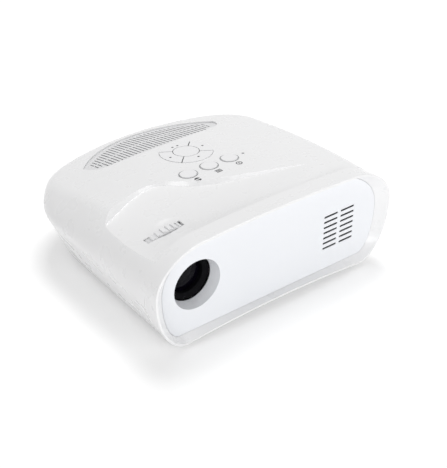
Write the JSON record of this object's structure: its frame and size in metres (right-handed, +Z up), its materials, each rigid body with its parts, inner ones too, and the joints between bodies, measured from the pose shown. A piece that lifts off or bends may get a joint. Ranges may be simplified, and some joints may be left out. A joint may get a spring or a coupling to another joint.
{
  "type": "disc player projector",
  "caption": "Compact desktop projector with a domed white case, a recessed lens with focus wheel, a sliding disc tray, a crescent speaker grille and a round key pad.",
  "frame": {"origin": "middle of the footprint on the surface it stands on", "axes": "+Z up, the lens faces -Y, +X to the right of a viewer who faces the lens"},
  "size_m": [0.2998, 0.275, 0.1199],
  "materials": {
    "white_shell": "glossy",
    "panel_white": "satin",
    "grille_white": "satin",
    "key_white": "glossy",
    "wheel_white": "satin",
    "smoked_window": "clear",
    "black_plastic": "satin",
    "fan_black": "satin",
    "speaker_black": "matt",
    "lens_glass": "coated",
    "coated_glass": "coated",
    "cast_alloy": "cast",
    "circuit_board": "solder mask",
    "screw_steel": "zinc plated",
    "motor_steel": "nickel plated",
    "drive_steel": "zinc plated",
    "lamp_box_plastic": "matt",
    "reflector_mirror": "polished",
    "rear_panel_grey": "satin",
    "jack_metal": "nickel plated",
    "drive_plastic": "satin",
    "gear_nylon": "natural nylon",
    "turntable_rubber": "matt",
    "foot_rubber": "matt",
    "foot_plastic": "satin"
  },
  "bodies": {
    "housing": {"av_jacks": "jack_metal", "bottom_cover": "white_shell", "colour_wheel_motor": "motor_steel", "control_board": "circuit_board", "cover_screws": "screw_steel", "drive_chassis": "drive_plastic", "drive_lid": "drive_steel", "front_bezel": "white_shell", "front_fan_frame": "black_plastic", "front_panel": "panel_white", "headphone_jack": "black_plastic", "imager_heat_sink": "cast_alloy", "lamp_door": "white_shell", "lamp_fan_frame": "black_plastic", "lamp_housing": "lamp_box_plastic", "lamp_reflector": "reflector_mirror", "led_window": "smoked_window", "lens_mount": "black_plastic", "light_engine": "cast_alloy", "loading_motor": "motor_steel", "main_board": "circuit_board", "mains_inlet": "black_plastic", "monitor_port": "jack_metal", "power_board": "circuit_board", "rear_feet": "foot_rubber", "rear_panel": "rear_panel_grey", "speaker_grille": "grille_white", "speaker_left": "speaker_black", "speaker_right": "speaker_black", "top_cover": "white_shell"},
    "focus_wheel": {"focus_ring": "wheel_white"},
    "lens_group": {"lens_barrel": "black_plastic", "lens_front_glass": "lens_glass", "lens_rear_glass": "lens_glass"},
    "tray": {"disc_tray": "drive_plastic", "tray_front": "white_shell"},
    "tray_drive_gear": {"tray_gear": "gear_nylon"},
    "motor_gear": {"motor_pinion": "gear_nylon"},
    "traverse": {"traverse_deck": "drive_steel", "pickup_rails": "drive_steel", "spindle_motor": "motor_steel", "sled_motor": "motor_steel"},
    "disc_turntable": {"turntable": "turntable_rubber"},
    "disc_clamp": {"clamp_puck": "drive_plastic"},
    "pickup": {"pickup_sled": "drive_plastic"},
    "sled_screw": {"lead_screw": "drive_steel"},
    "front_fan": {"front_fan_rotor": "fan_black"},
    "lamp_fan": {"lamp_fan_rotor": "fan_black"},
    "filter_wheel": {"colour_wheel": "coated_glass"},
    "elevator_foot": {"foot_stem": "foot_plastic"},
    "elevator_wheel": {"foot_wheel": "foot_plastic"},
    "menu_button_cap": {"menu_button": "key_white"},
    "pad_key_centre_cap": {"pad_key_centre": "key_white"},
    "pad_key_front_cap": {"pad_key_front": "key_white"},
    "pad_key_left_cap": {"pad_key_left": "key_white"},
    "pad_key_rear_cap": {"pad_key_rear": "key_white"},
    "pad_key_right_cap": {"pad_key_right": "key_white"},
    "power_button_cap": {"power_button": "key_white"},
    "source_button_cap": {"source_button": "key_white"}
  },
  "joints": [
    {"name": "focus_turn", "type": "hinge", "parent": "housing", "child": "focus_wheel", "pos_m": [-0.095, -0.0815, 0.063], "axis": [0, 1, 0], "range_deg": [-60, 60]},
    {"name": "lens_travel", "type": "slide", "parent": "housing", "child": "lens_group", "axis": [0, 1, 0], "range_m": [-0.0021, 0.0021]},
    {"name": "tray_slide", "type": "slide", "parent": "housing", "child": "tray", "axis": [1, 0, 0], "range_m": [0, 0.125]},
    {"name": "tray_gear_turn", "type": "hinge", "parent": "housing", "child": "tray_drive_gear", "pos_m": [0.118, -0.065, 0.06], "axis": [0, 0, 1], "range_deg": [-1, 800]},
    {"name": "motor_gear_turn", "type": "hinge", "parent": "housing", "child": "motor_gear", "pos_m": [0.093, -0.065, 0.0595], "axis": [0, 0, 1], "range_deg": [-2060, 5]},
    {"name": "traverse_lift", "type": "slide", "parent": "housing", "child": "traverse", "axis": [0, 0, 1], "range_m": [-0.004, 0]},
    {"name": "disc_spin", "type": "hinge", "parent": "traverse", "child": "disc_turntable", "pos_m": [0.06, -0.023, 0.07], "axis": [0, 0, 1], "continuous": true},
    {"name": "clamp_spin", "type": "hinge", "parent": "housing", "child": "disc_clamp", "pos_m": [0.06, -0.023, 0.078], "axis": [0, 0, 1], "continuous": true},
    {"name": "pickup_travel", "type": "slide", "parent": "traverse", "child": "pickup", "axis": [1, 0, 0], "range_m": [0, 0.027]},
    {"name": "screw_turn", "type": "hinge", "parent": "traverse", "child": "sled_screw", "pos_m": [0.02, -0.0445, 0.064], "axis": [1, 0, 0], "range_deg": [-10, 3250]},
    {"name": "front_fan_spin", "type": "hinge", "parent": "housing", "child": "front_fan", "pos_m": [0.0865, -0.1155, 0.052], "axis": [0, 1, 0], "continuous": true},
    {"name": "lamp_fan_spin", "type": "hinge", "parent": "housing", "child": "lamp_fan", "pos_m": [-0.018, 0.0695, 0.0328], "axis": [0, 1, 0], "continuous": true},
    {"name": "filter_wheel_spin", "type": "hinge", "parent": "housing", "child": "filter_wheel", "pos_m": [-0.078, 0.0146, 0.066], "axis": [0, 1, 0], "continuous": true},
    {"name": "foot_extend", "type": "slide", "parent": "housing", "child": "elevator_foot", "axis": [0, 0, -1], "range_m": [0, 0.02]},
    {"name": "foot_wheel_turn", "type": "hinge", "parent": "housing", "child": "elevator_wheel", "pos_m": [0, -0.096, 0.008], "axis": [0, 0, 1], "range_deg": [0, 2881]},
    {"name": "menu_button_press", "type": "slide", "parent": "housing", "child": "menu_button_cap", "axis": [0, 0, -1], "range_m": [0, 0.001], "stiffness_N_per_m": 600, "springref_m": -0.0005},
    {"name": "pad_key_centre_press", "type": "slide", "parent": "housing", "child": "pad_key_centre_cap", "axis": [0, 0, -1], "range_m": [0, 0.001], "stiffness_N_per_m": 600, "springref_m": -0.0005},
    {"name": "pad_key_front_press", "type": "slide", "parent": "housing", "child": "pad_key_front_cap", "axis": [0, 0, -1], "range_m": [0, 0.001], "stiffness_N_per_m": 600, "springref_m": -0.0005},
    {"name": "pad_key_left_press", "type": "slide", "parent": "housing", "child": "pad_key_left_cap", "axis": [0, 0, -1], "range_m": [0, 0.001], "stiffness_N_per_m": 600, "springref_m": -0.0005},
    {"name": "pad_key_rear_press", "type": "slide", "parent": "housing", "child": "pad_key_rear_cap", "axis": [0, 0, -1], "range_m": [0, 0.001], "stiffness_N_per_m": 600, "springref_m": -0.0005},
    {"name": "pad_key_right_press", "type": "slide", "parent": "housing", "child": "pad_key_right_cap", "axis": [0, 0, -1], "range_m": [0, 0.001], "stiffness_N_per_m": 600, "springref_m": -0.0005},
    {"name": "power_button_press", "type": "slide", "parent": "housing", "child": "power_button_cap", "axis": [0, 0, -1], "range_m": [0, 0.001], "stiffness_N_per_m": 600, "springref_m": -0.0005},
    {"name": "source_button_press", "type": "slide", "parent": "housing", "child": "source_button_cap", "axis": [0, 0, -1], "range_m": [0, 0.001], "stiffness_N_per_m": 600, "springref_m": -0.0005}
  ],
  "couplings": [
    {"joint": "lens_travel", "follows": "focus_turn", "m_per_rad": 0.00191},
    {"joint": "tray_gear_turn", "follows": "tray_slide", "rad_per_m": 111.11},
    {"joint": "motor_gear_turn", "follows": "tray_slide", "rad_per_m": -285.71},
    {"joint": "clamp_spin", "follows": "disc_spin", "ratio": 1},
    {"joint": "screw_turn", "follows": "pickup_travel", "rad_per_m": 2094.4},
    {"joint": "foot_wheel_turn", "follows": "foot_extend", "rad_per_m": 2513.3}
  ]
}
